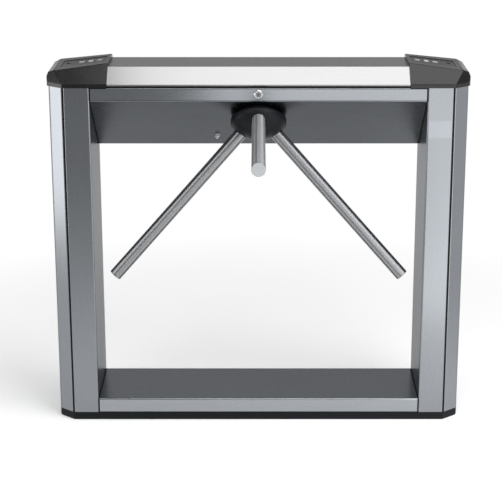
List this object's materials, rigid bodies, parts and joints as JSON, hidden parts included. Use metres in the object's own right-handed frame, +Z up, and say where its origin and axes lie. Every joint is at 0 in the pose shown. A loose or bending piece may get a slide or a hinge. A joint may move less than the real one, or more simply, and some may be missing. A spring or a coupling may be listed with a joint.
{
  "type": "tripod turnstile",
  "caption": "Box-shaped floor-standing tripod turnstile: stainless posts, base and top beam, with a domed hub on an inclined panel that turns tube arms through the walkway.",
  "frame": {"origin": "on the floor, at the centre of the four anchor holes", "axes": "+X along the body to the right of someone who walks up to the arms, -Y towards that person, +Z up"},
  "size_m": [1.109, 0.7354, 0.9915],
  "materials": {
    "stainless_panel": "vertical brushed satin",
    "arm_stainless": "fine polished brush along the tube",
    "cap_black": "fine-grained matt moulding",
    "plinth_black": "satin black",
    "hub_black": "satin black moulding",
    "rubber_black": "matt",
    "frame_steel": "matt primer",
    "zinc_steel": "zinc plated",
    "cast_aluminium": "as cast",
    "bearing_steel": "ground",
    "machined_steel": "turned",
    "pinion_brass": "machined",
    "encoder_black": "matt",
    "motor_black": "satin",
    "board_green": "solder mask",
    "supply_case": "mill finish",
    "indicator_black": "satin film",
    "indicator_lens": "frosted",
    "lock_chrome": "polished"
  },
  "bodies": {
    "cabinet": {"base_cover": "stainless_panel", "base_plinth": "plinth_black", "beam_bolts": "zinc_steel", "bearing_housing": "cast_aluminium", "board_standoffs": "zinc_steel", "control_board": "board_green", "cover_gasket": "rubber_black", "earth_stud": "lock_chrome", "floor_frame": "frame_steel", "front_bearing": "bearing_steel", "gear_motor": "motor_black", "housing_bolts": "zinc_steel", "hub_collar": "hub_black", "indicator_boards": "board_green", "indicator_windows": "indicator_lens", "left_beam_bracket": "frame_steel", "left_end_cap": "cap_black", "left_indicator_panel": "indicator_black", "left_post_column": "frame_steel", "left_post_end_cover": "stainless_panel", "left_post_wrap": "stainless_panel", "left_solenoid": "motor_black", "mechanism_plate": "zinc_steel", "pawl_pins": "zinc_steel", "plate_pillars": "zinc_steel", "position_sensor": "board_green", "post_seals": "rubber_black", "power_supply": "supply_case", "rear_bearing": "bearing_steel", "rear_plate": "zinc_steel", "release_lock_body": "lock_chrome", "release_lock_nut": "zinc_steel", "right_beam_bracket": "frame_steel", "right_end_cap": "cap_black", "right_indicator_panel": "indicator_black", "right_post_column": "frame_steel", "right_post_end_cover": "stainless_panel", "right_post_wrap": "stainless_panel", "right_solenoid": "motor_black", "top_housing": "stainless_panel"},
    "rotor": {"hub_cover": "hub_black", "hub_casting": "cast_aluminium", "hub_bolt": "zinc_steel", "front_arm": "arm_stainless", "left_arm": "arm_stainless", "right_arm": "arm_stainless", "arm_end_discs": "arm_stainless", "main_shaft": "machined_steel", "index_disc": "machined_steel", "encoder_disc": "encoder_black", "drive_gear": "machined_steel", "shaft_nut": "zinc_steel"},
    "motor_pinion_body": {"motor_pinion": "pinion_brass"},
    "left_pawl_body": {"left_pawl": "machined_steel"},
    "right_pawl_body": {"right_pawl": "machined_steel"},
    "left_plunger_body": {"left_plunger": "machined_steel"},
    "right_plunger_body": {"right_plunger": "machined_steel"},
    "lock_plug_body": {"release_lock_plug": "lock_chrome"},
    "lid_body": {"top_cover": "stainless_panel", "cover_stiffeners": "stainless_panel"}
  },
  "joints": [
    {"name": "rotor_turn", "type": "hinge", "parent": "cabinet", "child": "rotor", "pos_m": [0, -0.046, 0.8443], "axis": [0, -0.6428, -0.766], "continuous": true},
    {"name": "motor_pinion_spin", "type": "hinge", "parent": "cabinet", "child": "motor_pinion_body", "pos_m": [0.04253, -0.01342, 0.81696], "axis": [0, -0.6428, -0.766], "continuous": true},
    {"name": "right_pawl_swing", "type": "hinge", "parent": "cabinet", "child": "right_pawl_body", "pos_m": [0.072, -0.01536, 0.81859], "axis": [0, -0.6428, -0.766], "range_deg": [0, 12], "stiffness_Nm_per_rad": 0.3, "springref_deg": -8.59},
    {"name": "left_pawl_swing", "type": "hinge", "parent": "cabinet", "child": "left_pawl_body", "pos_m": [-0.072, -0.01536, 0.81859], "axis": [0, 0.6428, 0.766], "range_deg": [0, 12], "stiffness_Nm_per_rad": 0.3, "springref_deg": -8.59},
    {"name": "right_plunger_slide", "type": "slide", "parent": "cabinet", "child": "right_plunger_body", "axis": [1, 0, 0], "range_m": [0, 0.00628]},
    {"name": "left_plunger_slide", "type": "slide", "parent": "cabinet", "child": "left_plunger_body", "axis": [-1, 0, 0], "range_m": [0, 0.00628]},
    {"name": "release_lock_turn", "type": "hinge", "parent": "cabinet", "child": "lock_plug_body", "pos_m": [0, -0.11, 0.9165], "axis": [0, -1, 0], "range_deg": [0, 90]},
    {"name": "lid_lift", "type": "slide", "parent": "cabinet", "child": "lid_body", "axis": [0, 0, 1], "range_m": [0, 0.15]}
  ],
  "couplings": [
    {"joint": "motor_pinion_spin", "follows": "rotor_turn", "ratio": -2},
    {"joint": "right_plunger_slide", "follows": "right_pawl_swing", "m_per_rad": 0.03},
    {"joint": "left_plunger_slide", "follows": "left_pawl_swing", "m_per_rad": 0.03}
  ]
}
